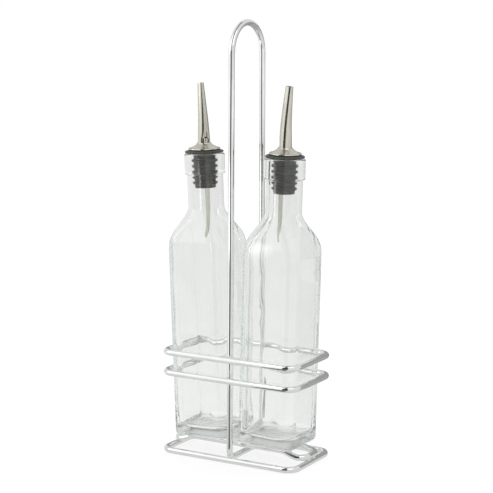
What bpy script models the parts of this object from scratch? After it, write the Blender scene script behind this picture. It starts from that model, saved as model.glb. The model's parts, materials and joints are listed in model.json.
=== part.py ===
"""Two-bottle oil and vinegar cruet set.

A chrome wire rack with a tall loop handle holds two square glass bottles. Each bottle is closed by a
ribbed rubber stopper, and the stopper carries a bent metal pourer with a breather tube.

Metres, +Z up, +X along the rack. The origin is on the table, under the middle of the rack.
"""

import math

import bmesh
import bpy
from mathutils import Vector

GAP = 0.0003                    # clearance between neighbouring pieces

# Rack: lengths and widths run from wire centre to wire centre
WIRE = 0.0048
RACK_LENGTH = 0.116
RACK_WIDTH = 0.0597
RACK_CORNER = 0.0089
RING_HEIGHTS = {"lower_ring": 0.0647, "upper_ring": 0.0809}
REST_WIDTH = 0.0236
REST_CORNER = 0.0076
REST_RAISED = 0.0113            # height of the rails that the bottles stand on
REST_LEVEL_X = 0.038            # the rails are level out to here
REST_FOOT_X = 0.053             # and are back down on the base loop's end rails here
HANDLE_TOP = 0.3355
HANDLE_TOP_WIDTH = 0.0460
HANDLE_CORNER = 0.005

# Bottle: a square body, a round neck and a round lip band
BOTTLE_PLACES = {"left": (-0.0272, -0.0025), "right": (0.0285, -0.001)}
BOTTLE_LEANS = {"left": -2.4, "right": 1.35}  # degrees towards +X; the bottles stand loose in the rack
BOTTLE_HEIGHT = 0.2208
BODY_SIDE = 0.0482
BODY_CORNER = 0.0075
HEEL_RADIUS = 0.004
SHOULDER_START = 0.146          # these heights are above the bottle's underside
SHOULDER_END = 0.180
SHOULDER_EASE = 1.45            # above 1, the shoulder starts to turn in later
LIP_START = 0.205
NECK_RADIUS = 0.0140
LIP_RADIUS = 0.0157
LIP_EDGE = 0.0008
WALL = 0.0028
FLOOR = 0.007
BORE_RADIUS = 0.0107

# Pourer: depths are below the bottle's lip, rises are above it
FLANGE_RADIUS = 0.015
FLANGE_THICKNESS = 0.003
PLUG_DEPTH = 0.0265
PLUG_TOP_RADIUS = 0.0086
PLUG_TIP_RADIUS = 0.0080
RIB_COUNT = 5
RIB_PITCH = 0.0043
RIB_TOP_RADIUS = 0.0104
RIB_TIP_RADIUS = 0.0095
RIB_THICKNESS = 0.0024
STEM_RADIUS = 0.0060
TUBE_WALL = 0.0005
COLLAR_RADIUS = 0.0120
COLLAR_RISE = 0.0040
COLLAR_SHEET = 0.0008           # thickness of the dome, measured upright
COLLAR_GRIP = 0.001             # length of spout that the collar holds
SPOUT_LENGTH = 0.0472
SPOUT_BASE_RADIUS = 0.0050
SPOUT_TIP_RADIUS = 0.0033
SPOUT_TIP_SQUASH = 0.7          # the tip is an oval, narrower across the bend
SPOUT_STRAIGHT = 0.015          # the spout stands upright this far, then bends over
SPOUT_LEAN = 0.0024             # sideways reach of the tip
SPOUT_BEND_POWER = 1.35
SPOUT_TAPER_POWER = 1.25
SPOUT_AIM = {"left": 146.0, "right": -12.0}   # degrees from +X
VENT_OFFSET = 0.0032
VENT_WALL = 0.0004
VENT_RADIUS = 0.0018
VENT_SHANK_RADIUS = 0.0016
VENT_TIP_RADIUS = 0.0009
VENT_REACH = 0.0385             # length below the stopper
VENT_SHANK_SHARE = 0.45         # part of that length with the gentler taper
VENT_RISE = 0.0052              # height above the spout's lower end
NOTCH_WIDTH = 0.0048
NOTCH_RISE = 0.0062
NOTCH_SPARE = 0.002             # how far the cutter reaches past the spout

# Facets
SHARP_ANGLE = 40                # degrees between faces that keep a crisp edge
WIRE_SIDES = 12
CORNER_STEPS = 4
SLOPE_STEPS = 6
HANDLE_ARCH_STEPS = 16
HEEL_STEPS = 3
SHOULDER_STEPS = 8
INNER_SHOULDER_STEPS = 6
SPOUT_STEPS = 10
NOTCH_ARCH_STEPS = 8
ROUND_SIDES = 20
SPOUT_SIDES = 16
VENT_SIDES = 12
SIDE_STEPS = 6                  # facets in each quarter turn of a bottle's outline


def clear_scene():
    for item in list(bpy.data.objects):
        bpy.data.objects.remove(item, do_unlink=True)


def make_material(name, colour, roughness, metallic, transmission=0.0):
    material = bpy.data.materials.new(name)
    material.use_nodes = True
    shader = material.node_tree.nodes["Principled BSDF"]
    shader.inputs["Base Color"].default_value = (*colour, 1.0)
    shader.inputs["Roughness"].default_value = roughness
    shader.inputs["Metallic"].default_value = metallic
    shader.inputs["Transmission Weight"].default_value = transmission
    return material


def add_object(name, mesh_builder, material, parent=None):
    """Turn a bmesh into a named object; points are in the parent's frame."""
    bmesh.ops.recalc_face_normals(mesh_builder, faces=mesh_builder.faces)
    mesh = bpy.data.meshes.new(name)
    mesh_builder.to_mesh(mesh)
    mesh_builder.free()
    mesh.shade_smooth()
    mesh.set_sharp_from_angle(angle=math.radians(SHARP_ANGLE))
    item = bpy.data.objects.new(name, mesh)
    item.data.materials.append(material)
    item.parent = parent
    bpy.context.collection.objects.link(item)
    return item


def add_empty(name, location, parent=None):
    """An empty on a moving group's axis."""
    empty = bpy.data.objects.new(name, None)
    empty.location = location
    empty.parent = parent
    bpy.context.collection.objects.link(empty)
    return empty


def loft(rings, closed=False):
    """Skin a list of equal rings; an open loft gets a flat cap at each end."""
    builder = bmesh.new()
    rows = [[builder.verts.new(point) for point in ring] for ring in rings]
    pairs = list(zip(rows, rows[1:]))
    if closed:
        pairs.append((rows[-1], rows[0]))
    else:
        builder.faces.new(rows[0])
        builder.faces.new(rows[-1])
    for lower, upper in pairs:
        for index in range(len(lower)):
            following = (index + 1) % len(lower)
            builder.faces.new((lower[index], lower[following], upper[following], upper[index]))
    return builder


def sweep(path, radius, reference, sides, closed=False, squash=1.0):
    """Rings of a tube along a path; reference is never along the path.

    The radius is a number or a list. The last ring is narrower by the squash, measured along the
    reference, and the rings before it less and less.
    """
    radii = radius if isinstance(radius, list) else [radius] * len(path)
    rings = []
    for index, point in enumerate(path):
        before = path[index - 1] if closed or index else point
        after = path[(index + 1) % len(path)] if closed or index + 1 < len(path) else point
        if closed:
            heading = (point - before).normalized() + (after - point).normalized()
        else:
            heading = after - before
        across = heading.cross(reference).normalized()
        up = across.cross(heading).normalized() * mix(1.0, squash, index / (len(path) - 1))
        reach = radii[index] / math.cos(math.pi / sides)
        angles = [(step + 0.5) * math.tau / sides for step in range(sides)]
        rings.append([point + reach * (math.cos(a) * across + math.sin(a) * up) for a in angles])
    return rings


def turn(profile, sides=ROUND_SIDES):
    """Revolve a closed outline of (radius, height) points about Z."""
    rings = []
    for radius, height in profile:
        angles = [step * math.tau / sides for step in range(sides)]
        rings.append([Vector((radius * math.cos(a), radius * math.sin(a), height)) for a in angles])
    return loft(rings, closed=True)


def arc(centre, radius, start, end, steps):
    """Points (x, y) on an arc, angles in degrees."""
    angles = [math.radians(start + (end - start) * step / steps) for step in range(steps + 1)]
    return [(centre[0] + radius * math.cos(a), centre[1] + radius * math.sin(a)) for a in angles]


def smooth_step(value):
    value = min(max(value, 0.0), 1.0)
    return value * value * (3.0 - 2.0 * value)


def mix(start, end, share):
    return start + (end - start) * share


# ---- Rack


def rounded_rectangle(length, width, radius):
    half_x = length / 2 - radius
    half_y = width / 2 - radius
    corners = ((half_x, -half_y, -90), (half_x, half_y, 0), (-half_x, half_y, 90), (-half_x, -half_y, 180))
    outline = []
    for x, y, start in corners:
        outline += arc((x, y), radius, start, start + 90, CORNER_STEPS)
    return outline


def add_wire_loop(name, path, reference, material):
    """A closed loop of the rack's wire."""
    rings = sweep(path, WIRE / 2, reference, WIRE_SIDES, closed=True)
    add_object(name, loft(rings, closed=True), material)


def add_flat_loop(name, height, material):
    outline = rounded_rectangle(RACK_LENGTH, RACK_WIDTH, RACK_CORNER)
    path = [Vector((x, y, height)) for x, y in outline]
    add_wire_loop(name, path, Vector((0, 0, 1)), material)


def rest_height(x):
    """The rest's rails are raised in the middle and come down to the end rails."""
    low = 1.5 * WIRE + GAP
    share = (REST_FOOT_X - abs(x)) / (REST_FOOT_X - REST_LEVEL_X)
    return mix(low, REST_RAISED, smooth_step(share))


def add_bottle_rest(material):
    """A narrow loop that lies across the base loop's short rails and carries the bottles."""
    outline = rounded_rectangle(RACK_LENGTH, REST_WIDTH, REST_CORNER)
    corner_x = RACK_LENGTH / 2 - REST_CORNER
    slope = [mix(REST_LEVEL_X, corner_x, step / SLOPE_STEPS) for step in range(SLOPE_STEPS)]
    back = [(x, REST_WIDTH / 2) for x in reversed(slope)] + [(-x, REST_WIDTH / 2) for x in slope]
    front = [(-x, -y) for x, y in back]
    half = len(outline) // 2
    outline = outline[:half] + back + outline[half:] + front
    path = [Vector((x, y, rest_height(x))) for x, y in outline]
    add_wire_loop("bottle_rest", path, Vector((0, 0, 1)), material)


def add_handle(material):
    """One closed loop of wire in the YZ plane: a cross bar on the table, two legs and a round top."""
    low = WIRE / 2
    foot_y = RACK_WIDTH / 2 - WIRE - GAP
    top_radius = HANDLE_TOP_WIDTH / 2
    spring = HANDLE_TOP - top_radius
    corner_y = foot_y - HANDLE_CORNER
    corner_z = low + HANDLE_CORNER
    outline = arc((-corner_y, corner_z), HANDLE_CORNER, 180, 270, CORNER_STEPS)
    outline += arc((corner_y, corner_z), HANDLE_CORNER, 270, 360, CORNER_STEPS)
    outline += arc((0, spring), top_radius, 0, 180, HANDLE_ARCH_STEPS)
    path = [Vector((0, y, z)) for y, z in outline]
    add_wire_loop("handle_loop", path, Vector((1, 0, 0)), material)


# ---- Bottles


def square_ring(half_side, corner, height):
    """A rounded square; it becomes a circle where the corner radius equals the half side."""
    inset = half_side - corner
    points = []
    for quarter, (x, y) in enumerate(((inset, inset), (-inset, inset), (-inset, -inset), (inset, -inset))):
        for step in range(SIDE_STEPS):
            angle = (quarter + (step + 0.5) / SIDE_STEPS) * math.pi / 2
            points.append(Vector((x + corner * math.cos(angle), y + corner * math.sin(angle), height)))
    return points


def shoulder_rings(side, corner, neck, steps):
    """Rings from the top of the body, with the given half side and corner, to the round neck."""
    rings = []
    for step in range(steps + 1):
        share = step / steps
        height = mix(SHOULDER_START, SHOULDER_END, share)
        blend = smooth_step(share ** SHOULDER_EASE)
        half_side = mix(side, neck, blend)
        rings.append(square_ring(half_side, mix(corner, half_side, blend), height))
    return rings


def add_bottle_axis(side):
    """The bottle's frame, at the centre of its underside.

    The bottle leans on the outer ends of the rails' level part.
    """
    x, y = BOTTLE_PLACES[side]
    lean = math.radians(BOTTLE_LEANS[side])
    rise = (REST_LEVEL_X - abs(x)) * math.tan(abs(lean))
    axis = add_empty("axis_" + side, (x, y, REST_RAISED + WIRE / 2 + GAP + rise))
    axis.rotation_euler.y = lean
    return axis


def bottle_shell():
    """Outside from the underside up to the lip, then inside from the lip down to the floor."""
    heel = HEEL_RADIUS
    half_side = BODY_SIDE / 2
    outside = []
    for inset, height in arc((-heel, heel), heel, -90, 0, HEEL_STEPS):
        outside.append(square_ring(half_side + inset, BODY_CORNER + inset, height))
    outside += shoulder_rings(half_side, BODY_CORNER, NECK_RADIUS, SHOULDER_STEPS)
    for radius, height in (
        (NECK_RADIUS, LIP_START - LIP_EDGE),
        (LIP_RADIUS, LIP_START),
        (LIP_RADIUS, BOTTLE_HEIGHT - LIP_EDGE),
        (LIP_RADIUS - LIP_EDGE, BOTTLE_HEIGHT),
        (BORE_RADIUS + LIP_EDGE, BOTTLE_HEIGHT),
        (BORE_RADIUS, BOTTLE_HEIGHT - LIP_EDGE),
    ):
        outside.append(square_ring(radius, radius, height))
    half_side -= WALL
    corner = BODY_CORNER - WALL / 2
    inside = shoulder_rings(half_side, corner, BORE_RADIUS, INNER_SHOULDER_STEPS)[::-1]
    for inset, height in arc((-heel, FLOOR + heel), heel, 0, -90, HEEL_STEPS):
        inside.append(square_ring(half_side + inset, corner + inset, height))
    return loft(outside + inside)


# ---- Pourers


def stopper_outline():
    """Flange on the lip, ribbed plug in the neck and a hole right through for the stem."""
    hole = STEM_RADIUS + GAP
    edge = FLANGE_THICKNESS / 3
    top = GAP + FLANGE_THICKNESS
    outline = [(hole, -PLUG_DEPTH), (PLUG_TIP_RADIUS - edge, -PLUG_DEPTH)]
    outline.append((PLUG_TIP_RADIUS, edge - PLUG_DEPTH))
    for rib in range(RIB_COUNT, 0, -1):
        depth = rib * RIB_PITCH + RIB_THICKNESS / 2
        share = depth / PLUG_DEPTH
        core = mix(PLUG_TOP_RADIUS, PLUG_TIP_RADIUS, share)
        outline.append((core, -depth - RIB_THICKNESS / 2))
        outline.append((mix(RIB_TOP_RADIUS, RIB_TIP_RADIUS, share), -depth))
        outline.append((core, -depth + RIB_THICKNESS / 2))
    outline += [(PLUG_TOP_RADIUS, GAP), (FLANGE_RADIUS - edge, GAP), (FLANGE_RADIUS, GAP + edge)]
    outline += [(FLANGE_RADIUS, top - edge), (FLANGE_RADIUS - edge, top), (hole, top)]
    return outline


def collar_outline(base):
    """A pressed metal dome, hollow below, with a hole for the spout."""
    hole = SPOUT_BASE_RADIUS + GAP
    top = base + COLLAR_RISE
    dome = ((1.0, 0.0), (1.0, 0.16), (0.95, 0.34), (0.8, 0.58), (0.63, 0.8), (0.54, 0.93))
    outer = [(COLLAR_RADIUS * across, base + COLLAR_RISE * up) for across, up in dome]
    inner = [(across - TUBE_WALL, max(up - COLLAR_SHEET, base)) for across, up in reversed(outer[:-1])]
    return outer + [(hole, top), (hole, top - COLLAR_GRIP)] + inner[:-1]


def spout_tube(base):
    """Tapered tube, upright at first and then bent over towards +X."""
    centres = []
    radii = []
    for step in range(SPOUT_STEPS + 1):
        share = step / SPOUT_STEPS
        height = SPOUT_LENGTH * share
        bend = max(height - SPOUT_STRAIGHT, 0.0) / (SPOUT_LENGTH - SPOUT_STRAIGHT)
        centres.append(Vector((SPOUT_LEAN * bend ** SPOUT_BEND_POWER, 0, base + height)))
        radii.append(mix(SPOUT_BASE_RADIUS, SPOUT_TIP_RADIUS, share ** SPOUT_TAPER_POWER))
    sideways = Vector((0, 1, 0))
    bore = [radius - TUBE_WALL for radius in radii]
    outer = sweep(centres, radii, sideways, SPOUT_SIDES, squash=SPOUT_TIP_SQUASH)
    inner = sweep(centres, bore, sideways, SPOUT_SIDES, squash=SPOUT_TIP_SQUASH)
    return loft(outer + inner[::-1], closed=True)


def notch_cutter(base):
    """Arched slot, open at the bottom, through the spout's wall on the side away from the bend."""
    half = NOTCH_WIDTH / 2
    arch = arc((0, NOTCH_RISE - half), half, 0, 180, NOTCH_ARCH_STEPS)
    outline = [(half, -NOTCH_SPARE)] + arch + [(-half, -NOTCH_SPARE)]
    ends = (-SPOUT_BASE_RADIUS - NOTCH_SPARE, -SPOUT_BASE_RADIUS / 4)
    return loft([[Vector((x, y, base + z)) for y, z in outline] for x in ends])


def vent_tube(base):
    """Thin tube from the notch down through the stem, tapering to a fine tip."""
    top = base + VENT_RISE
    tip = -PLUG_DEPTH - VENT_REACH
    shank = mix(-PLUG_DEPTH, tip, VENT_SHANK_SHARE)
    stations = (
        (top, VENT_RADIUS),
        (-PLUG_DEPTH, VENT_RADIUS),
        (shank, VENT_SHANK_RADIUS),
        (tip, VENT_TIP_RADIUS),
    )
    path = [Vector((-VENT_OFFSET, 0, height)) for height, _ in stations]
    radii = [radius for _, radius in stations]
    outer = sweep(path, radii, Vector((0, 1, 0)), VENT_SIDES)
    inner = sweep(path, [radius - VENT_WALL for radius in radii], Vector((0, 1, 0)), VENT_SIDES)
    return loft(outer + inner[::-1], closed=True)


def stem_outline(top):
    inner = STEM_RADIUS - TUBE_WALL
    return [(inner, -PLUG_DEPTH), (STEM_RADIUS, -PLUG_DEPTH), (STEM_RADIUS, top), (inner, top)]


def add_pourer(side, bottle_axis, materials):
    """The pourer's frame has its origin at the centre of the bottle's lip."""
    lip = add_empty("lip_" + side, (0, 0, BOTTLE_HEIGHT), bottle_axis)
    add_object("stopper_" + side, turn(stopper_outline()), materials["rubber"], lip)
    aim = add_empty("aim_" + side, (0, 0, 0), lip)
    aim.rotation_euler.z = math.radians(SPOUT_AIM[side])
    collar_base = FLANGE_THICKNESS + 2 * GAP
    spout_base = collar_base + COLLAR_RISE - COLLAR_GRIP
    add_object("collar_" + side, turn(collar_outline(collar_base)), materials["steel"], aim)
    add_object("stem_" + side, turn(stem_outline(collar_base - GAP), SPOUT_SIDES), materials["steel"], aim)
    add_object("vent_tube_" + side, vent_tube(spout_base), materials["steel"], aim)
    spout = add_object("spout_" + side, spout_tube(spout_base), materials["steel"], aim)
    cutter = add_object("notch_cutter_" + side, notch_cutter(spout_base), materials["steel"], aim)
    cutter.hide_render = True
    cutter.display_type = "WIRE"
    cut = spout.modifiers.new("notch", "BOOLEAN")
    cut.operation = "DIFFERENCE"
    cut.solver = "EXACT"
    cut.object = cutter


def build():
    clear_scene()
    materials = {
        "chrome": make_material("chrome_wire", (0.80, 0.81, 0.82), 0.08, 1.0),
        "steel": make_material("pourer_steel", (0.72, 0.70, 0.64), 0.18, 1.0),
        "rubber": make_material("stopper_rubber", (0.055, 0.062, 0.058), 0.6, 0.0),
        "glass": make_material("bottle_glass", (0.90, 0.95, 0.93), 0.03, 0.0, 1.0),
    }
    add_flat_loop("base_loop", WIRE / 2, materials["chrome"])
    add_bottle_rest(materials["chrome"])
    for name, height in RING_HEIGHTS.items():
        add_flat_loop(name, height, materials["chrome"])
    add_handle(materials["chrome"])
    for side in BOTTLE_PLACES:
        axis = add_bottle_axis(side)
        add_object("bottle_" + side, bottle_shell(), materials["glass"], axis)
        add_pourer(side, axis, materials)


build()
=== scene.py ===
"""Looks of the two-bottle oil and vinegar set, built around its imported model.

Metres, +Z up, +X along the rack, -Y towards the front rail. The origin is on the table, under the middle.
"""

import json
import math

import bmesh
import bpy
from mathutils import Matrix, Vector, noise


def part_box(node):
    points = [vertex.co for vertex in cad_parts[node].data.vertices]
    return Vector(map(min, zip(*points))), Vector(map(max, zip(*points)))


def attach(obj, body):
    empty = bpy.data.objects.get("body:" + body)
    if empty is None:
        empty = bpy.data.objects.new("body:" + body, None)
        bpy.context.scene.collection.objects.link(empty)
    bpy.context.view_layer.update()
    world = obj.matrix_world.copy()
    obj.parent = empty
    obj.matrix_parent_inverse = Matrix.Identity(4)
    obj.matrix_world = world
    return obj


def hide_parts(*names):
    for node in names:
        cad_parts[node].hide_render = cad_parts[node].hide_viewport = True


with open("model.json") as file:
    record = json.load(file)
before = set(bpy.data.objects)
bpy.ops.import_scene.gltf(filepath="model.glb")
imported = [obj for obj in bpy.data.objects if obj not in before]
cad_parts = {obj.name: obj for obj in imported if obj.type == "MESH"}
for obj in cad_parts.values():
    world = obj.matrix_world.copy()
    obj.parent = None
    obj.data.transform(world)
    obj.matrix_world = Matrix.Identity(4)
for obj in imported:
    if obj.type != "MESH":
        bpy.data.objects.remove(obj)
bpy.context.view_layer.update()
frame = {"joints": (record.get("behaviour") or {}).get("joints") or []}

MM = 0.001
UP = Vector((0, 0, 1))
BEHIND = Vector((0, 1, 0))
SIDES = ("left", "right")
RACK_BODY = "rack"
BODY_OF = {
    "bottle": "bottle_body_",
    "stopper": "stopper_body_",
    "pourer": "pourer_body_",
}

# Camera: where it stands, seen from a point over the origin, and its lens
CAMERA_AZIMUTH = 29.98
CAMERA_ELEVATION = 9.45
CAMERA_ROLL = 0.22
CAMERA_DISTANCE = 1.2303
CAMERA_TARGET = Vector((0, 0, 0.1647))
CAMERA_LENS = 116.8
CAMERA_SENSOR = 36.0

# Rack
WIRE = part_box("base_loop")[1].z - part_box("base_loop")[0].z
RACK_CORNER = 8.9 * MM
REST_CORNER = 7.6 * MM
REST_LEVEL_X = 38 * MM
REST_FOOT_X = 53 * MM
HANDLE_TOP_WIDTH = 46 * MM
HANDLE_CORNER = 5 * MM
WELD_WAIST = 1.35 * MM
WELD_FLARE = 0.65 * MM
WELD_STRETCH = 1.5              # the rest's welds are longer along the base loop's short rails
FOOT_WELD_HEIGHT = 0.62 * WIRE

# Bottle: heights are above its underside, except STIPPLE_TOP
BOTTLE_HEIGHT = 220.8 * MM
BODY_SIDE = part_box("bottle_left")[1].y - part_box("bottle_left")[0].y
BODY_CORNER = 7.5 * MM
HEEL_RADIUS = 4 * MM
PUSH_UP = 0.4 * MM
PUSH_UP_SHARE = 0.9             # how much of the underside's width the push-up takes
CENTRE_SHARE = 0.06             # the underside and the floor close with a flat of this share
SHOULDER_START = 146 * MM
SHOULDER_END = 180 * MM
SHOULDER_EASE = 1.45
LIP_START = 205 * MM
NECK_RADIUS = 14.0 * MM
LIP_RADIUS = 15.7 * MM
LIP_FILLET = 0.7 * MM
LIP_EDGE = 1.3 * MM
BORE_RADIUS = 10.7 * MM
WALL = 2.8 * MM
FLOOR = 7 * MM
INNER_CORNER = 9.5 * MM
INNER_HEEL_RADIUS = 5 * MM
FLOOR_DOME = 0.3 * MM
FLOOR_SQUARENESS = 0.6          # corner radius of the floor's middle, as a share of its half side
WAVE_DEPTH = 0.7 * MM
WAVE_LENGTH = 20 * MM
WAVE_FADE = 5 * MM              # nearer to the axis than this, the waves fade out
WAVE_PLACE_FACTOR = 5           # moves each bottle to another part of the noise
NECK_WAVE_SHARE = 0.1
SKIN_WAVE_DEPTH = 0.05 * MM
SEAM_HEIGHT = 0.12 * MM
STIPPLE_TOP = 26 * MM           # height above the table where the rough, moulded lower end stops

# Pourer: heights are above the bottle's lip
FLANGE_RADIUS = 15 * MM
FLANGE_THICKNESS = 3 * MM
FLANGE_EDGE = 1.2 * MM
LIP_GAP = 0.3 * MM
PLUG_DEPTH = 26.5 * MM
PLUG_TOP_RADIUS = 8.6 * MM
PLUG_TIP_RADIUS = 8.0 * MM
RIB_COUNT = 5
RIB_PITCH = 4.3 * MM
RIB_TOP_RADIUS = 10.5 * MM
RIB_TIP_RADIUS = 9.6 * MM
RIB_THICKNESS = 2.6 * MM
RIB_EDGE = 0.7 * MM
RIB_UNDERSIDE = 0.2 * RIB_EDGE
RUBBER_ROUNDING = 0.45 * MM
STEEL_ROUNDING = 0.2 * MM
STEM_RADIUS = 6 * MM
TUBE_WALL = 0.5 * MM
COLLAR_BASE = FLANGE_THICKNESS + 2 * LIP_GAP
COLLAR_RADIUS = 12 * MM
COLLAR_RISE = 4 * MM
COLLAR_SHEET = 0.8 * MM
COLLAR_GRIP = 1 * MM
COLLAR_DROP = 1.0 * MM          # how far the collar's rim reaches down beside the flange's raised middle
COLLAR_SEAT_RADIUS = COLLAR_RADIUS - 2 * MM
COLLAR_FIT = 0.05 * MM
SPOUT_BASE = COLLAR_BASE + COLLAR_RISE - COLLAR_GRIP
SPOUT_LENGTH = 47.2 * MM
SPOUT_BASE_RADIUS = 5 * MM
SPOUT_TIP_RADIUS = 3.3 * MM
SPOUT_TIP_SQUASH = 0.7
SPOUT_STRAIGHT = 15 * MM
SPOUT_LEAN = 2.4 * MM
SPOUT_BEND_POWER = 1.35
SPOUT_TAPER_POWER = 1.25
SPOUT_TILT_ONSET = 4            # how fast the rings tilt over where the bend begins
SPOUT_AIM = {"left": 146.0, "right": -12.0}     # degrees about the bottle's axis
VENT_OFFSET = 3.2 * MM
VENT_WALL = 0.4 * MM
VENT_RADIUS = 1.8 * MM
VENT_SHANK_RADIUS = 1.6 * MM
VENT_TIP_RADIUS = 0.9 * MM
VENT_REACH = 38.5 * MM
VENT_SHANK_SHARE = 0.45
VENT_TAPER_POWER = 1.3
VENT_RISE = 5.2 * MM
NOTCH_WIDTH = 4.8 * MM
NOTCH_RISE = 6.2 * MM
NOTCH_SPARE = 2 * MM
DENT_DEPTH = 0.7 * MM
DENT_WIDTH = 0.75 * NOTCH_WIDTH
DENT_HEIGHT = 0.95 * NOTCH_RISE
DENT_CENTRE = 0.4 * NOTCH_RISE
DENT_FULL = 1.7                 # the dent's depth is full inside and falls off outside
DENT_FALL = 1.2

# Materials: linear colours, darkest and lightest
CHROME_TINTS = (0.80, 0.81, 0.80), (0.86, 0.87, 0.86)
STEEL_TINTS = (0.57, 0.555, 0.48), (0.67, 0.655, 0.57)
RUBBER_TINTS = (0.046, 0.050, 0.041), (0.066, 0.071, 0.059)
GLASS_TINTS = (0.958, 0.965, 0.958), (0.973, 0.98, 0.973)
GLASS_DEPTH_COLOUR = (0.70, 0.83, 0.77, 1)
GLASS_DENSITY = 3.2
GLASS_IOR = 1.51
STIPPLE_ROUGHNESS = 0.4

# Studio: directions in degrees; a glow of 1 is paper white
FLOOR_SIZE = 12
FLOOR_DROP = 0.2 * MM
FLOOR_GLOW = 0.82
FLOOR_GREY = 0.22
# Painted light: the floor seen through the glass glows brighter towards the object, a pool of light painted
# on it
GLASS_FLOOR_SIZES = (6.0, 0.2)
GLASS_FLOOR_GLOWS = (0.79, 0.94)
GLASS_FLOOR_STEPS = 16
GLASS_FLOOR_GAP = 0.01 * MM
WINDOW = {"azimuth": -38, "elevation": 36, "width": 1.0, "height": 1.1}
DARK_AZIMUTH = CAMERA_AZIMUTH - 21
WEDGE_HALF_ANGLE = 21
WEDGE_NEAR = 0.06
WEDGE_FAR = 0.33
BOOM_CENTRE = Vector((0, 0, 0.25))
BOOM_REACH = 0.45
BOOM_WIDTH = 0.17
BOOM_END = 115
SHOULDER_LIGHT = Vector((-0.038, -0.130, 0.180))
SHOULDER_LIGHT_AZIMUTH = 150
SHOULDER_LIGHT_SIZE = (0.022, 0.060)
SHOULDER_LIGHT_STEPS = 7
LIGHT_BOUNCES = 32              # thick glass turns black with fewer

# Fineness
SHARP_ANGLE = 50
WELD_STEPS = 12
WIRE_SIDES = 40
CORNER_STEPS = 20
SLOPE_STEPS = 24
HANDLE_ARCH_STEPS = 72
HANDLE_LEG_STEPS = 12
QUARTER_STEPS = 44
CORNER_FOCUS = 0.45             # below 1, a bottle's outline has more points at its corners
BODY_STEPS = 60
SHOULDER_STEPS = 32
ROUND_SIDES = 96
SPOUT_SIDES = 64
UNDERSIDE_STEPS = 14
HEEL_STEPS = 10
INNER_HEEL_STEPS = 14
FLOOR_STEPS = 12
NECK_STEPS = 8
BORE_STEPS = 14
LIP_STEPS = 6
FILLET_STEPS = 5
EDGE_STEPS = 8
SPOUT_STEPS = 64
NOTCH_STEPS = 24
VENT_STEPS = 8
VENT_TIP_STEPS = 12
COLLAR_CURVE_STEPS = 6
SOFT_STEPS = 4
BOOM_STEPS = 12


# ---- Shapes


def mix(start, end, share):
    return start + (end - start) * share


def smooth_step(value):
    value = min(max(value, 0.0), 1.0)
    return value * value * (3.0 - 2.0 * value)


def spread(start, end, steps):
    """Evenly spaced values, both ends among them."""
    return [mix(start, end, step / steps) for step in range(steps + 1)]


def arc(centre, radius, start, end, steps):
    """Points on an arc, angles in degrees."""
    angles = [math.radians(angle) for angle in spread(start, end, steps)]
    return [(centre[0] + radius * math.cos(a), centre[1] + radius * math.sin(a)) for a in angles]


def soften(outline, radius):
    """Round every corner of a closed outline with a short curve."""
    points = [Vector(point) for point in outline]
    softened = []
    for index, corner in enumerate(points):
        before, after = points[index - 1] - corner, points[(index + 1) % len(points)] - corner
        start = corner + before.normalized() * min(radius, before.length * 0.45)
        end = corner + after.normalized() * min(radius, after.length * 0.45)
        for share in spread(0.0, 1.0, SOFT_STEPS):
            softened.append(tuple(start.lerp(corner, share).lerp(corner.lerp(end, share), share)))
    return softened


def smooth_line(points, steps):
    """A Catmull-Rom curve through a list of points."""
    padded = [points[0], *points, points[-1]]
    line = []
    for a, b, c, d in zip(padded, padded[1:], padded[2:], padded[3:]):
        a, b, c, d = map(Vector, (a, b, c, d))
        for share in spread(0.0, 1.0, steps)[:-1]:
            curve = 2 * b + (c - a) * share + (2 * a - 5 * b + 4 * c - d) * share ** 2
            line.append(tuple((curve + (3 * b - a - 3 * c + d) * share ** 3) / 2))
    return line + [tuple(points[-1])]


def loft(rings, closed=False):
    """Skin a list of equal rings; an open loft gets a cap at each end."""
    builder = bmesh.new()
    rows = [[builder.verts.new(point) for point in ring] for ring in rings]
    pairs = list(zip(rows, rows[1:]))
    if closed:
        pairs.append((rows[-1], rows[0]))
    else:
        builder.faces.new(rows[0])
        builder.faces.new(rows[-1])
    for lower, upper in pairs:
        for index in range(len(lower)):
            following = (index + 1) % len(lower)
            builder.faces.new((lower[index], lower[following], upper[following], upper[index]))
    return builder


def turn(profile, sides=ROUND_SIDES):
    """Revolve a closed outline of (radius, height) points about Z."""
    angles = [step * math.tau / sides for step in range(sides)]
    rings = [[Vector((r * math.cos(a), r * math.sin(a), z)) for a in angles] for r, z in profile]
    return loft(rings, closed=True)


def sweep(path, radius, reference, sides, closed=False):
    """Rings of a tube along a path; radius is a number or a list, reference is never along the path."""
    radii = radius if isinstance(radius, list) else [radius] * len(path)
    rings = []
    for index, point in enumerate(path):
        before = path[index - 1] if closed or index else point
        after = path[(index + 1) % len(path)] if closed or index + 1 < len(path) else point
        if closed:
            heading = (point - before).normalized() + (after - point).normalized()
        else:
            heading = after - before
        across = heading.cross(reference).normalized()
        up = across.cross(heading).normalized()
        angles = [step * math.tau / sides for step in range(sides)]
        rings.append([point + radii[index] * (math.cos(a) * across + math.sin(a) * up) for a in angles])
    return rings


def add_piece(name, builder, material, body, place=None, nodes=()):
    """Turn a bmesh into a piece that rides on a body and stands for CAD nodes."""
    bmesh.ops.recalc_face_normals(builder, faces=builder.faces)
    mesh = bpy.data.meshes.new(name)
    builder.to_mesh(mesh)
    builder.free()
    if place is not None:
        mesh.transform(place)
    mesh.shade_smooth()
    mesh.set_sharp_from_angle(angle=math.radians(SHARP_ANGLE))
    mesh.materials.append(material)
    piece = bpy.data.objects.new(name, mesh)
    bpy.context.scene.collection.objects.link(piece)
    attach(piece, body)
    if nodes:
        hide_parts(*nodes)
    return piece


# ---- Materials


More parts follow.
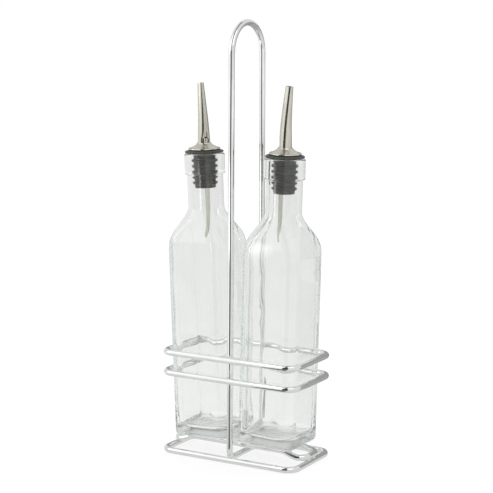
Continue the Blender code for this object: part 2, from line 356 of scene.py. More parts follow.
class Shading:
    """A material's node tree, with short calls for what these materials share."""

    def __init__(self, name):
        self.material = bpy.data.materials.new(name)
        self.material.use_nodes = True
        self.tree = self.material.node_tree
        self.surface = self.tree.nodes["Principled BSDF"]
        self.place = self.node("ShaderNodeTexCoord").outputs["Object"]

    def node(self, kind, **sockets):
        made = self.tree.nodes.new(kind)
        for socket, value in sockets.items():
            made.inputs[socket.replace("_", " ")].default_value = value
        return made

    def link(self, source, target):
        self.tree.links.new(source, target)

    def set(self, **sockets):
        for socket, value in sockets.items():
            self.surface.inputs[socket.replace("_", " ")].default_value = value

    def noise(self, scale, stretch=(1, 1, 1), detail=4.0, roughness=0.55):
        """Noise by place on the piece; stretch above 1 makes it finer along that axis."""
        mapping = self.node("ShaderNodeMapping")
        mapping.inputs["Scale"].default_value = stretch
        self.link(self.place, mapping.inputs["Vector"])
        made = self.node("ShaderNodeTexNoise", Scale=scale, Detail=detail, Roughness=roughness)
        self.link(mapping.outputs["Vector"], made.inputs["Vector"])
        return made.outputs["Fac"]

    def ramp(self, source, low, high, start=0.3, end=0.7):
        """Spread a noise over a range of values."""
        made = self.node("ShaderNodeMapRange")
        for socket, value in zip(("From Min", "From Max", "To Min", "To Max"), (start, end, low, high)):
            made.inputs[socket].default_value = value
        self.link(source, made.inputs["Value"])
        return made.outputs["Result"]

    def tint(self, source, dark, light):
        """Mix two colours by a noise."""
        made = self.node("ShaderNodeValToRGB")
        made.color_ramp.elements[0].color = (*dark, 1)
        made.color_ramp.elements[1].color = (*light, 1)
        made.color_ramp.elements[0].position = 0.3
        made.color_ramp.elements[1].position = 0.7
        self.link(source, made.inputs["Fac"])
        self.link(made.outputs["Color"], self.surface.inputs["Base Color"])

    def bump(self, *layers):
        """Stack bumps; each layer is a noise, its depth and its strength."""
        normal = None
        for source, distance, strength in layers:
            made = self.node("ShaderNodeBump", Strength=strength, Distance=distance)
            self.link(source, made.inputs["Height"])
            if normal is not None:
                self.link(normal, made.inputs["Normal"])
            normal = made.outputs["Normal"]
        self.link(normal, self.surface.inputs["Normal"])


def chrome_material(name, roughness, grain):
    """Bright plate over drawn wire: faint waves, and fine pits that dull it here and there."""
    shading = Shading(name)
    shading.set(Metallic=1.0)
    shading.tint(shading.noise(90), *CHROME_TINTS)
    dulled = shading.ramp(shading.noise(260), roughness, roughness * 2.2)
    shading.link(dulled, shading.surface.inputs["Roughness"])
    shading.bump((shading.noise(180, detail=2), 0.00004, 0.25), (shading.noise(2400), 0.00001, grain))
    return shading.material


def steel_material():
    """Polished warm steel, drawn lengthwise: faint streaks along the tube."""
    shading = Shading("pourer_steel")
    shading.set(Metallic=1.0)
    streaks = shading.noise(900, stretch=(1, 1, 0.06))
    shading.tint(shading.noise(120, stretch=(1, 1, 0.4)), *STEEL_TINTS)
    shading.link(shading.ramp(streaks, 0.14, 0.26), shading.surface.inputs["Roughness"])
    shading.bump((shading.noise(150, detail=2), 0.00005, 0.25), (streaks, 0.00001, 0.25))
    return shading.material


def rubber_material():
    """Moulded rubber: matt, slightly chalky, with a fine grain."""
    shading = Shading("stopper_rubber")
    shading.tint(shading.noise(220), *RUBBER_TINTS)
    shading.set(Specular_IOR_Level=0.35, Sheen_Weight=0.06, Sheen_Roughness=0.5)
    shading.link(shading.ramp(shading.noise(500), 0.48, 0.68), shading.surface.inputs["Roughness"])
    shading.bump((shading.noise(60, detail=2), 0.0002, 0.2), (shading.noise(3000), 0.00003, 0.35))
    return shading.material


def glass_material():
    """Clear pressed glass: faint ripples in its skin, rough low down, and grey-green where it is thick."""
    shading = Shading("bottle_glass")
    shading.tint(shading.noise(40), *GLASS_TINTS)
    shading.set(Transmission_Weight=1.0, IOR=GLASS_IOR)
    parts = shading.node("ShaderNodeSeparateXYZ")
    shading.link(shading.place, parts.inputs["Vector"])
    stipple = shading.ramp(parts.outputs["Z"], STIPPLE_ROUGHNESS, 0.0, STIPPLE_TOP / 2, STIPPLE_TOP)
    roughest = shading.node("ShaderNodeMath")
    roughest.operation = "MAXIMUM"
    shading.link(shading.ramp(shading.noise(300), 0.0, 0.02), roughest.inputs[0])
    shading.link(stipple, roughest.inputs[1])
    shading.link(roughest.outputs["Value"], shading.surface.inputs["Roughness"])
    shading.bump((shading.noise(70, detail=2), 0.0004, 0.10), (shading.noise(420, detail=2), 0.00003, 0.05))
    absorption = shading.node("ShaderNodeVolumeAbsorption", Density=GLASS_DENSITY, Color=GLASS_DEPTH_COLOUR)
    shading.link(absorption.outputs["Volume"], shading.tree.nodes["Material Output"].inputs["Volume"])
    return shading.material


# ---- Rack


def rounded_rectangle(length, width, radius):
    half_x, half_y = length / 2 - radius, width / 2 - radius
    corners = ((half_x, -half_y), (half_x, half_y), (-half_x, half_y), (-half_x, -half_y))
    outline = []
    for quarter, corner in enumerate(corners):
        start = 90 * (quarter - 1)
        outline += arc(corner, radius, start, start + 90, CORNER_STEPS)
    return outline


def loop_size(node):
    """Length and width of a loop of wire, from wire centre to wire centre."""
    low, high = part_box(node)
    return high.x - low.x - WIRE, high.y - low.y - WIRE


def add_wire(name, path, reference, material, node):
    rings = sweep(path, WIRE / 2, reference, WIRE_SIDES, closed=True)
    add_piece(name, loft(rings, closed=True), material, RACK_BODY, nodes=[node])


def add_flat_loop(node, material):
    low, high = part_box(node)
    height = (low.z + high.z) / 2
    outline = rounded_rectangle(*loop_size(node), RACK_CORNER)
    path = [Vector((x, y, height)) for x, y in outline]
    add_wire(node + "_wire", path, UP, material, node)


def add_bottle_rest(material):
    """A narrow loop that lies across the base loop's end rails; its long rails are bent up."""
    low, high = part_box("bottle_rest")
    length, width = loop_size("bottle_rest")
    outline = rounded_rectangle(length, width, REST_CORNER)
    slope = spread(REST_LEVEL_X, length / 2 - REST_CORNER, SLOPE_STEPS)[:-1]
    back = [(x, width / 2) for x in reversed(slope)] + [(-x, width / 2) for x in slope]
    front = [(-x, -y) for x, y in back]
    half = len(outline) // 2
    path = []
    for x, y in outline[:half] + back + outline[half:] + front:
        share = (REST_FOOT_X - abs(x)) / (REST_FOOT_X - REST_LEVEL_X)
        height = mix(low.z + WIRE / 2, high.z - WIRE / 2, smooth_step(share))
        path.append(Vector((x, y, height)))
    add_wire("bottle_rest_wire", path, UP, material, "bottle_rest")


def handle_leg_y(height):
    """Where the middle of a leg stands at a height; the legs lean in towards the top."""
    low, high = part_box("handle_loop")
    foot_y = (high.y - low.y - WIRE) / 2
    foot_z = low.z + WIRE / 2 + HANDLE_CORNER
    spring_z = high.z - WIRE / 2 - HANDLE_TOP_WIDTH / 2
    return mix(foot_y, HANDLE_TOP_WIDTH / 2, (height - foot_z) / (spring_z - foot_z))


def add_handle(material):
    """A cross bar on the table, two legs and a round top, bent from one wire."""
    low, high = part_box("handle_loop")
    floor_z = low.z + WIRE / 2
    top_radius = HANDLE_TOP_WIDTH / 2
    spring_z = high.z - WIRE / 2 - top_radius
    corner_y = handle_leg_y(floor_z + HANDLE_CORNER) - HANDLE_CORNER
    corner_z = floor_z + HANDLE_CORNER
    outline = arc((-corner_y, corner_z), HANDLE_CORNER, 180, 270, CORNER_STEPS)
    outline += arc((corner_y, corner_z), HANDLE_CORNER, 270, 360, CORNER_STEPS)
    leg = spread(corner_z, spring_z, HANDLE_LEG_STEPS)[1:-1]
    outline += [(handle_leg_y(z), z) for z in leg]
    outline += arc((0, spring_z), top_radius, 0, 180, HANDLE_ARCH_STEPS)
    outline += [(-handle_leg_y(z), z) for z in reversed(leg)]
    path = [Vector((0, y, z)) for y, z in outline]
    add_wire("handle_wire", path, Vector((1, 0, 0)), material, "handle_loop")


def add_weld(name, start, end, material, along=1.0):
    """A small fillet of metal where two wires meet; start and end are points on their centre lines."""
    axis = end - start
    reach = WIRE / 3
    profile = [(WELD_WAIST + WELD_FLARE * (z / reach) ** 2, z) for z in spread(-reach, reach, WELD_STEPS)]
    angles = [step * math.tau / WIRE_SIDES for step in range(WIRE_SIDES)]
    rings = [[Vector((r * math.cos(a), along * r * math.sin(a), z)) for a in angles] for r, z in profile]
    rotation = UP.rotation_difference(axis.normalized()).to_matrix().to_4x4()
    place = Matrix.Translation((start + end) / 2) @ rotation
    add_piece(name, loft(rings), material, RACK_BODY, place)


def add_welds(material):
    rail_y = loop_size("base_loop")[1] / 2
    for end, sign in (("front", -1), ("back", 1)):
        for node in ("lower_ring", "upper_ring"):
            low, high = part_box(node)
            height = (low.z + high.z) / 2
            leg = Vector((0, sign * handle_leg_y(height), height))
            add_weld(f"weld_{node}_{end}", leg, Vector((0, sign * rail_y, height)), material)
        foot = Vector((0, sign * (rail_y - WIRE), FOOT_WELD_HEIGHT))
        add_weld(f"weld_foot_{end}", foot, Vector((0, sign * rail_y, WIRE / 2)), material)
    rest_y = loop_size("bottle_rest")[1] / 2 - REST_CORNER
    rest_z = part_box("bottle_rest")[0].z + WIRE / 2
    for side, sign in (("left", -1), ("right", 1)):
        x = sign * loop_size("base_loop")[0] / 2
        for end, y in (("front", -rest_y), ("back", rest_y)):
            top, bottom = Vector((x, y, rest_z)), Vector((x, y, WIRE / 2))
            add_weld(f"weld_rest_{side}_{end}", bottom, top, material, WELD_STRETCH)


# ---- Bottles


def outline_reach(half_side, corner, angle):
    """Distance from the axis to a rounded square, in the direction of an angle."""
    along, across = sorted((abs(math.cos(angle)), abs(math.sin(angle))), reverse=True)
    flat = half_side - corner
    if half_side * across <= flat * along:
        return half_side / along
    span = flat * (along + across)
    return span + math.sqrt(max(span * span - 2 * flat * flat + corner * corner, 0.0))


def ring_angles():
    """Directions round a bottle, closer together at its corners, with each one's distance from a corner."""
    angles = []
    for quarter in range(4):
        for step in range(QUARTER_STEPS):
            offset = 2 * (step + 0.5) / QUARTER_STEPS - 1
            focused = CORNER_FOCUS * offset + (1 - CORNER_FOCUS) * offset ** 3
            angles.append(((quarter + 0.5 + focused / 2) * math.pi / 2, abs(offset), quarter))
    return angles


def shoulder_stations(side, corner, neck):
    """From the top of the square body to the round neck, as (half side, corner radius, height)."""
    stations = []
    for share in spread(0.0, 1.0, SHOULDER_STEPS):
        blend = smooth_step(share ** SHOULDER_EASE)
        half_side = mix(side, neck, blend)
        stations.append((half_side, mix(corner, half_side, blend), mix(SHOULDER_START, SHOULDER_END, share)))
    return stations


def outer_stations():
    """The underside's push-up, the rounded heel, the body, the shoulder, the neck and the lip band."""
    foot = BODY_SIDE / 2 - HEEL_RADIUS
    foot_corner = BODY_CORNER - HEEL_RADIUS
    stations = []
    for share in spread(CENTRE_SHARE, 1 - CENTRE_SHARE, UNDERSIDE_STEPS):
        rise = PUSH_UP * (1 - smooth_step(share / PUSH_UP_SHARE))
        stations.append((foot * share, mix(foot * share, foot_corner, share), rise))
    for reach, height in arc((0, HEEL_RADIUS), HEEL_RADIUS, -90, 0, HEEL_STEPS):
        stations.append((foot + reach, foot_corner + reach, height))
    for height in spread(HEEL_RADIUS, SHOULDER_START, BODY_STEPS)[1:-1]:
        stations.append((BODY_SIDE / 2, BODY_CORNER, height))
    stations += shoulder_stations(BODY_SIDE / 2, BODY_CORNER, NECK_RADIUS)
    fillet, edge = LIP_FILLET, LIP_EDGE
    finish = [(NECK_RADIUS, z) for z in spread(SHOULDER_END, LIP_START - 2 * fillet, NECK_STEPS)[1:]]
    finish += arc((NECK_RADIUS + fillet, LIP_START - fillet), fillet, 180, 90, FILLET_STEPS)
    finish += arc((LIP_RADIUS - fillet, LIP_START + fillet), fillet, -90, 0, FILLET_STEPS)
    finish += [(LIP_RADIUS, z) for z in spread(LIP_START + fillet, BOTTLE_HEIGHT - edge, LIP_STEPS)[1:-1]]
    finish += arc((LIP_RADIUS - edge, BOTTLE_HEIGHT - edge), edge, 0, 90, EDGE_STEPS)
    finish += arc((BORE_RADIUS + edge, BOTTLE_HEIGHT - edge), edge, 90, 180, EDGE_STEPS)
    return stations + [(radius, radius, height) for radius, height in finish]


def inner_stations():
    """Down the bore, under the shoulder, down the body and across the floor."""
    side, heel = BODY_SIDE / 2 - WALL, INNER_HEEL_RADIUS
    stations = [(BORE_RADIUS, BORE_RADIUS, z) for z in spread(BOTTLE_HEIGHT, SHOULDER_END, BORE_STEPS)[2:-1]]
    stations += shoulder_stations(side, INNER_CORNER, BORE_RADIUS)[::-1]
    for height in spread(SHOULDER_START, FLOOR + heel, BODY_STEPS)[1:-1]:
        stations.append((side, INNER_CORNER, height))
    for reach, height in arc((0, FLOOR + heel), heel, 0, -90, INNER_HEEL_STEPS):
        half_side = side - heel + reach
        corner = mix(INNER_CORNER, half_side * FLOOR_SQUARENESS, 1 - reach / heel)
        stations.append((half_side, corner, height))
    last_side = stations[-1][0]
    for share in spread(1.0, CENTRE_SHARE, FLOOR_STEPS)[1:]:
        half_side = last_side * share
        rise = FLOOR_DOME * (1 - smooth_step(share))
        stations.append((half_side, half_side * mix(1.0, FLOOR_SQUARENESS, share), FLOOR + rise))
    return stations


def bottle_ring(station, inside, wave_place):
    """One ring of glass; the inside is wavier than the outside, as pressed glass is."""
    half_side, corner, height = station
    calm = smooth_step((SHOULDER_END - height) / (SHOULDER_END - SHOULDER_START))
    depth = mix(NECK_WAVE_SHARE, 1.0, calm) * (WAVE_DEPTH if inside else SKIN_WAVE_DEPTH)
    on_body = smooth_step((height - HEEL_RADIUS) / HEEL_RADIUS) * calm
    points = []
    for angle, offset, quarter in ring_angles():
        reach = outline_reach(half_side, corner, angle)
        point = Vector((reach * math.cos(angle), reach * math.sin(angle), height))
        wave = noise.noise((point + wave_place) / WAVE_LENGTH)
        reach -= depth * (0.5 + wave) * min(1.0, half_side / WAVE_FADE)
        if not inside and quarter % 2 == 0 and offset < 1.5 / QUARTER_STEPS:
            reach += SEAM_HEIGHT * on_body
        points.append(Vector((reach * math.cos(angle), reach * math.sin(angle), height)))
    return points


def lip_frame(side):
    """A frame at the centre of the bottle's lip, with +Z along the bottle's leaning axis."""
    joint = next(joint for joint in frame["joints"] if joint["name"] == "spout_turn_" + side)
    axis = Vector(joint["axis"]).normalized()
    across = BEHIND.cross(axis).normalized()
    rotation = Matrix((across, axis.cross(across), axis)).transposed().to_4x4()
    return Matrix.Translation(Vector(joint["pos_m"])) @ rotation


def add_bottle(side, material):
    foot = lip_frame(side) @ Matrix.Translation((0, 0, -BOTTLE_HEIGHT))
    wave_place = foot.translation * WAVE_PLACE_FACTOR
    rings = [bottle_ring(station, False, wave_place) for station in outer_stations()]
    rings += [bottle_ring(station, True, wave_place) for station in inner_stations()]
    add_piece(
        "bottle_glass_" + side,
        loft(rings),
        material,
        BODY_OF["bottle"] + side,
        foot,
        ["bottle_" + side],
    )


# ---- Pourers


def stopper_profile():
    """A stepped flange on the lip and a ribbed plug in the neck, with a hole right through for the stem."""
    hole = STEM_RADIUS + LIP_GAP / 2
    top = LIP_GAP + FLANGE_THICKNESS
    outline = [(hole, -PLUG_DEPTH), (PLUG_TIP_RADIUS, -PLUG_DEPTH)]
    for rib in range(RIB_COUNT, 0, -1):
        depth = rib * RIB_PITCH + RIB_THICKNESS / 2
        share = depth / PLUG_DEPTH
        core = mix(PLUG_TOP_RADIUS, PLUG_TIP_RADIUS, share)
        reach = mix(RIB_TOP_RADIUS, RIB_TIP_RADIUS, share)
        outline.append((core, -depth - RIB_THICKNESS / 2))
        outline.append((reach, -depth - RIB_UNDERSIDE))
        outline.append((reach, -depth + RIB_EDGE))
        outline.append((core, -depth + RIB_THICKNESS / 2))
    outline += [(PLUG_TOP_RADIUS, LIP_GAP), (FLANGE_RADIUS - FLANGE_EDGE, LIP_GAP)]
    ledge = top - COLLAR_DROP
    outline += [(FLANGE_RADIUS, LIP_GAP + FLANGE_EDGE / 2), (FLANGE_RADIUS, ledge - FLANGE_EDGE / 2)]
    outline += [(FLANGE_RADIUS - FLANGE_EDGE, ledge), (COLLAR_SEAT_RADIUS, ledge)]
    outline += [(COLLAR_SEAT_RADIUS, top), (hole, top)]
    return soften(outline, RUBBER_ROUNDING)


def collar_profile():
    """A pressed dome with a small upright rim; it runs up into the spout."""
    hole = SPOUT_BASE_RADIUS + COLLAR_FIT
    foot = COLLAR_BASE - COLLAR_DROP
    top = COLLAR_BASE + COLLAR_RISE

    # Shares of the collar's radius and of its height
    rim = [(1.0, 0.0), (1.02, 0.06), (1.035, 0.16), (1.02, 0.28), (0.97, 0.35), (0.91, 0.37)]
    dome = [(0.84, 0.42), (0.73, 0.54), (0.62, 0.7), (0.52, 0.88), (0.45, 1.12)]
    outer = [(COLLAR_RADIUS * x, mix(foot, top, z)) for x, z in rim + dome]
    outer = smooth_line(outer, COLLAR_CURVE_STEPS)
    covered = [(x, z) for x, z in reversed(outer) if x > hole + TUBE_WALL]
    inner = [(x - TUBE_WALL, max(z - COLLAR_SHEET, foot)) for x, z in covered]
    outer = [(max(x, hole), z) for x, z in outer if x > hole - TUBE_WALL]
    return outer + [(hole, top - COLLAR_GRIP)] + inner[:-1]


def notch_nearness(y, height):
    """1 at the notch and 0 well away from it."""
    across = y / DENT_WIDTH
    above = max(height - DENT_CENTRE, 0) / DENT_HEIGHT
    return smooth_step(DENT_FULL - math.hypot(across, above) * DENT_FALL)


def spout_rings(wall):
    """Rings up the spout, upright at first and then bent over; the wall is pressed in round the notch."""
    rings = []
    bent_length = SPOUT_LENGTH - SPOUT_STRAIGHT
    for share in spread(0.0, 1.0, SPOUT_STEPS):
        height = SPOUT_LENGTH * share
        bend = max(height - SPOUT_STRAIGHT, 0.0) / bent_length
        centre = SPOUT_LEAN * bend ** SPOUT_BEND_POWER
        radius = mix(SPOUT_BASE_RADIUS, SPOUT_TIP_RADIUS, share ** SPOUT_TAPER_POWER) - wall
        slope = SPOUT_LEAN * SPOUT_BEND_POWER * bend ** (SPOUT_BEND_POWER - 1) / bent_length
        tilt = math.atan(slope) * smooth_step(bend * SPOUT_TILT_ONSET)
        squash = mix(1.0, SPOUT_TIP_SQUASH, share)
        ring = []
        for step in range(SPOUT_SIDES):
            angle = step * math.tau / SPOUT_SIDES
            x, y = radius * math.cos(angle), radius * math.sin(angle) * squash
            if x < 0:
                x += DENT_DEPTH * notch_nearness(y, height)
            ring.append(Vector((centre + x * math.cos(tilt), y, SPOUT_BASE + height - x * math.sin(tilt))))
        rings.append(ring)
    return rings


def spout_builder():
    """Outside, a rolled tip, and the inside back down."""
    outer, inner = spout_rings(0.0), spout_rings(TUBE_WALL)
    tip = []
    for angle in spread(0.0, math.pi, EDGE_STEPS)[1:-1]:
        lift = Vector((0, 0, TUBE_WALL / 2 * math.sin(angle)))
        share = (1 - math.cos(angle)) / 2
        tip.append([a.lerp(b, share) + lift for a, b in zip(outer[-1], inner[-1])])
    return loft(outer + tip + inner[::-1], closed=True)


def notch_builder():
    """A solid that cuts an arched slot through the wall away from the bend."""
    half = NOTCH_WIDTH / 2
    arch = arc((0, NOTCH_RISE - half), half, 0, 180, NOTCH_STEPS)
    outline = [(half, -NOTCH_SPARE)] + arch + [(-half, -NOTCH_SPARE)]
    ends = (-SPOUT_BASE_RADIUS - NOTCH_SPARE, -SPOUT_BASE_RADIUS / 4)
    return loft([[Vector((x, y, SPOUT_BASE + z)) for y, z in outline] for x in ends])


def cut(builder, cutter_builder):
    """The first solid without the second, as a new bmesh."""
    solids = []
    for name, solid in (("cut_solid", builder), ("cut_tool", cutter_builder)):
        bmesh.ops.recalc_face_normals(solid, faces=solid.faces)
        mesh = bpy.data.meshes.new(name)
        solid.to_mesh(mesh)
        solid.free()
        item = bpy.data.objects.new(name, mesh)
        bpy.context.scene.collection.objects.link(item)
        solids.append(item)
    modifier = solids[0].modifiers.new("cut", "BOOLEAN")
    modifier.solver = "EXACT"
    modifier.object = solids[1]
    shape = solids[0].evaluated_get(bpy.context.evaluated_depsgraph_get()).to_mesh()
    result = bmesh.new()
    result.from_mesh(shape)
    for item in solids:
        bpy.data.objects.remove(item, do_unlink=True)
    return result


def vent_builder():
    """A thin tube from the notch down through the stem, drawn out to a fine tip."""
    top, plug, tip = SPOUT_BASE + VENT_RISE, -PLUG_DEPTH, -PLUG_DEPTH - VENT_REACH
    stations = [(z, VENT_RADIUS) for z in spread(top, plug, VENT_STEPS)]
    shank = mix(plug, tip, VENT_SHANK_SHARE)
    for share in spread(0.0, 1.0, VENT_STEPS)[1:]:
        radius = mix(VENT_RADIUS, VENT_SHANK_RADIUS, smooth_step(share))
        stations.append((mix(plug, shank, share), radius))
    for share in spread(0.0, 1.0, VENT_TIP_STEPS)[1:]:
        radius = mix(VENT_SHANK_RADIUS, VENT_TIP_RADIUS, share ** VENT_TAPER_POWER)
        stations.append((mix(shank, tip, share), radius))
    path = [Vector((-VENT_OFFSET, 0, height)) for height, _ in stations]
    radii = [radius for _, radius in stations]
    outer = sweep(path, radii, BEHIND, WIRE_SIDES)
    inner = sweep(path, [radius - VENT_WALL for radius in radii], BEHIND, WIRE_SIDES)
    return loft(outer + inner[::-1], closed=True)


def stem_profile():
    inner = STEM_RADIUS - TUBE_WALL
    top = COLLAR_BASE - LIP_GAP
    wall = [(inner, -PLUG_DEPTH), (STEM_RADIUS, -PLUG_DEPTH), (STEM_RADIUS, top), (inner, top)]
    return soften(wall, STEEL_ROUNDING)


def add_pourer(side, steel, rubber):
    lip = lip_frame(side)
    aimed = lip @ Matrix.Rotation(math.radians(SPOUT_AIM[side]), 4, "Z")
    stopper_body, pourer_body = BODY_OF["stopper"] + side, BODY_OF["pourer"] + side
    add_piece(
        "stopper_rubber_" + side, turn(stopper_profile()), rubber, stopper_body,
        lip, ["stopper_" + side],
    )
    parts = {
        "collar_dome_": ("collar_", turn(collar_profile())),
        "stem_pipe_": ("stem_", turn(stem_profile())),
        "vent_pipe_": ("vent_tube_", vent_builder()),
        "spout_pipe_": ("spout_", cut(spout_builder(), notch_builder())),
    }
    for name, (node, builder) in parts.items():
        add_piece(name + side, builder, steel, pourer_body, aimed, [node + side])


# ---- Studio


def direction(azimuth, elevation):
    """Unit vector; azimuth 0 is towards -Y, 90 towards +X."""
    a, e = math.radians(azimuth), math.radians(elevation)
    return Vector((math.sin(a) * math.cos(e), -math.cos(a) * math.cos(e), math.sin(e)))


def add_camera():
    back = direction(CAMERA_AZIMUTH, CAMERA_ELEVATION)
    right = direction(CAMERA_AZIMUTH + 90, 0)
    up = back.cross(right)
    roll = math.radians(CAMERA_ROLL)
    across = math.cos(roll) * right + math.sin(roll) * up
    upright = back.cross(across)
    data = bpy.data.cameras.new("camera")
    data.lens = CAMERA_LENS
    data.sensor_width = CAMERA_SENSOR
    camera = bpy.data.objects.new("camera", data)
    rotation = Matrix((across, upright, back)).transposed().to_4x4()
    camera.matrix_world = Matrix.Translation(CAMERA_TARGET + CAMERA_DISTANCE * back) @ rotation
    bpy.context.scene.collection.objects.link(camera)
    bpy.context.scene.camera = camera


def glow_material(name, brightness, diffuse=0.0):
    """An evenly lit surface, for the paper floor and the studio's cards."""
    material = bpy.data.materials.new(name)
    material.use_nodes = True
    shader = material.node_tree.nodes["Principled BSDF"]
    shader.inputs["Base Color"].default_value = (diffuse, diffuse, diffuse, 1)
    shader.inputs["Specular IOR Level"].default_value = 0.0
    shader.inputs["Roughness"].default_value = 1.0
    shader.inputs["Emission Color"].default_value = (1, 1, 1, 1)
    shader.inputs["Emission Strength"].default_value = brightness
    material.cycles.emission_sampling = "NONE"
    return material


def add_stage_mesh(name, builder, material):
    """Something in the studio that isn't part of the object."""
    mesh = bpy.data.meshes.new(name)
    builder.to_mesh(mesh)
    builder.free()
    mesh.materials.append(material)
    item = bpy.data.objects.new(name, mesh)
    bpy.context.scene.collection.objects.link(item)
    return item


def sheet_builder(corners):
    builder = bmesh.new()
    builder.faces.new([builder.verts.new(corner) for corner in corners])
    return builder


def sheet(outline, centre, normal, width, height):
    """A flat sheet round a centre, upright unless it faces up; its outline is 1 wide and 1 high."""
    rotation = normal.to_track_quat("Z", "Y").to_matrix()
    return sheet_builder([centre + rotation @ Vector((x * width, y * height, 0)) for x, y in outline])


def flat_sheet(centre, normal, width, height):
    outline = ((-0.5, -0.5), (0.5, -0.5), (0.5, 0.5), (-0.5, 0.5))
    return sheet(outline, centre, normal, width, height)


def oval_sheet(centre, normal, width, height):
    outline = arc((0, 0), 0.5, 0, 360, ROUND_SIDES)[1:]
    return sheet(outline, centre, normal, width, height)


def add_card(name, builder, brightness, seen_through_glass=False):
    """A studio card that shows only in reflections, or only through glass."""
    card = add_stage_mesh(name, builder, glow_material(name, brightness))
    card.visible_camera = False
    card.visible_diffuse = False
    card.visible_shadow = False
    card.visible_volume_scatter = False
    card.visible_glossy = not seen_through_glass
    card.visible_transmission = seen_through_glass


def facing_card(name, azimuth, elevation, distance, width, height, brightness, seen_through_glass=False):
    """A card that faces the middle of the table."""
    away = direction(azimuth, elevation)
    add_card(name, flat_sheet(away * distance, -away, width, height), brightness, seen_through_glass)


def room_builder(radius):
    builder = bmesh.new()
    bmesh.ops.create_icosphere(builder, subdivisions=3, radius=radius)
    return builder


def boom_builder(azimuth):
    """A strip that curves up and over the handle."""
    side = direction(azimuth + 90, 0) * BOOM_WIDTH / 2
    builder = bmesh.new()
    previous = None
    for elevation in spread(0, BOOM_END, BOOM_STEPS):
        middle = BOOM_CENTRE + direction(azimuth, elevation) * BOOM_REACH
        row = [builder.verts.new(middle - side), builder.verts.new(middle + side)]
        if previous:
            builder.faces.new((*previous, row[1], row[0]))
        previous = row
    return builder


def wedge_builder(azimuth):
    """A fan-shaped sheet that lies on the table."""
    left, right = azimuth - WEDGE_HALF_ANGLE, azimuth + WEDGE_HALF_ANGLE
    corners = ((left, WEDGE_NEAR), (right, WEDGE_NEAR), (right, WEDGE_FAR), (left, WEDGE_FAR))
    return sheet_builder([direction(turned, 0) * far + UP * 0.05 * MM for turned, far in corners])


def add_world():
    world = bpy.data.worlds.new("studio")
    world.use_nodes = True
    background = world.node_tree.nodes["Background"]
    background.inputs["Color"].default_value = (1, 1, 1, 1)
    background.inputs["Strength"].default_value = 1.0
    scene = bpy.context.scene
    scene.world = world
    scene.view_settings.view_transform = "Standard"
    for kind in ("max_bounces", "glossy_bounces", "transmission_bounces"):
        setattr(scene.cycles, kind, LIGHT_BOUNCES)


def add_floor():
    floor = flat_sheet(UP * -FLOOR_DROP, UP, FLOOR_SIZE, FLOOR_SIZE)
    add_stage_mesh("floor", floor, glow_material("floor_paper", FLOOR_GLOW, FLOOR_GREY))


def add_glass_surroundings():
    """What the glass shows of the room; its floor is brighter towards the object, a painted pool of light."""
    add_card("room_through_glass", room_builder(radius=5.3), brightness=0.84, seen_through_glass=True)
    largest, smallest = map(math.log, GLASS_FLOOR_SIZES)
    # Painted light: each smaller step glows brighter, so the floor seen through the glass is brightest under
    # the object
    for step, share in enumerate(spread(0.0, 1.0, GLASS_FLOOR_STEPS)):
        size = math.exp(mix(largest, smallest, share))
        # Stacked just above the paper floor, the smallest on top
        depth = (GLASS_FLOOR_STEPS + 2 - step) * GLASS_FLOOR_GAP
        floor = flat_sheet(UP * -depth, UP, size, size)
        add_card(f"floor_through_glass_{step}", floor, mix(*GLASS_FLOOR_GLOWS, share), True)
    facing_card("left_window_through_glass", **WINDOW, distance=1.05, brightness=1.9, seen_through_glass=True)


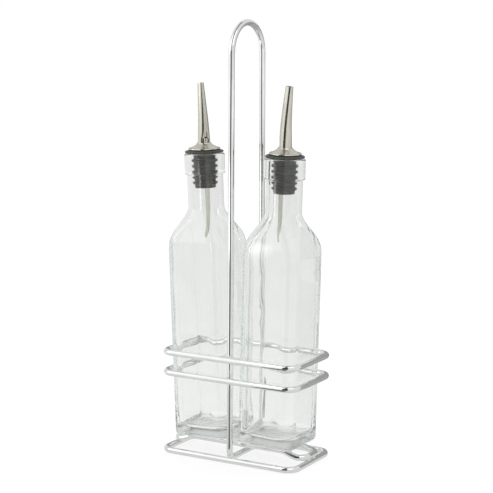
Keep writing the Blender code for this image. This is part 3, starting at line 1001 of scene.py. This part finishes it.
def add_metal_surroundings():
    """What the metal reflects: a pale room and table, a window, darker cards behind, and a darker card on the
    table round the object that is painted shadow.
    """
    add_card("room_reflected", room_builder(radius=5.5), brightness=0.80)
    # Painted shadow: a darker card on the table round the object stands in for the object's shadow, as the
    # metal reflects it
    rack_shadow = flat_sheet(UP * -0.1 * MM, UP, width=0.46, height=0.46)
    add_card("rack_shadow_card", rack_shadow, brightness=0.74)
    right_centre = direction(CAMERA_AZIMUTH + 75, 0) * 1.6 - UP * 0.15 * MM
    right_floor = flat_sheet(right_centre, UP, width=2.4, height=2.4)
    add_card("right_floor_card", right_floor, brightness=0.78)
    facing_card("left_window", **WINDOW, distance=1.1, brightness=1.16)
    back = flat_sheet(Vector((0, 0.6, 0.23)), -BEHIND, width=1.1, height=0.40)
    add_card("back_card", back, brightness=0.38)
    back_line = flat_sheet(Vector((0, 0.59, 0.02)), -BEHIND, width=0.70, height=0.035)
    add_card("back_line_card", back_line, brightness=0.02)
    back_floor = flat_sheet(Vector((0, 0.34, 0)), UP, width=1.1, height=0.5)
    add_card("back_floor_card", back_floor, brightness=0.42)


def add_dark_cards():
    """The dark camera side: an upright card, a wedge on the table and a boom over the top."""
    away = direction(DARK_AZIMUTH, 0)
    upright = flat_sheet(away * 0.32 + UP * 0.18, -away, width=0.25, height=0.36)
    add_card("camera_card", upright, brightness=0.06)
    add_card("camera_floor_card", wedge_builder(DARK_AZIMUTH), brightness=0.15)
    add_card("camera_boom_card", boom_builder(DARK_AZIMUTH), brightness=0.2)


def add_lights():
    """A wide card overhead, a softbox at the left, and a small light with a soft edge near the shoulder."""
    facing_card(
        "overhead_card", CAMERA_AZIMUTH, elevation=58, distance=1.0, width=1.3, height=0.7, brightness=1.3,
    )
    facing_card(
        "softbox", CAMERA_AZIMUTH - 92, elevation=33, distance=0.9, width=0.30, height=0.45, brightness=2.4,
    )
    facing = direction(SHOULDER_LIGHT_AZIMUTH, 0)
    width, height = SHOULDER_LIGHT_SIZE
    for step, share in enumerate(spread(0.0, 1.0, SHOULDER_LIGHT_STEPS)):
        size = mix(1.7, 0.7, share)
        centre = SHOULDER_LIGHT + facing * step * 0.1 * MM
        glow = mix(1.2, 5.5, share)
        add_card(f"shoulder_light_{step}", oval_sheet(centre, facing, width * size, height * size), glow)


def build():
    chrome = chrome_material("chrome_wire", 0.05, 0.1)
    for node in ("base_loop", "lower_ring", "upper_ring"):
        add_flat_loop(node, chrome)
    add_bottle_rest(chrome)
    add_handle(chrome)
    add_welds(chrome_material("weld_chrome", 0.14, 0.5))
    glass, steel, rubber = glass_material(), steel_material(), rubber_material()
    for side in SIDES:
        add_bottle(side, glass)
        add_pourer(side, steel, rubber)
    add_camera()
    add_world()
    add_floor()
    add_glass_surroundings()
    add_metal_surroundings()
    add_dark_cards()
    add_lights()


build()
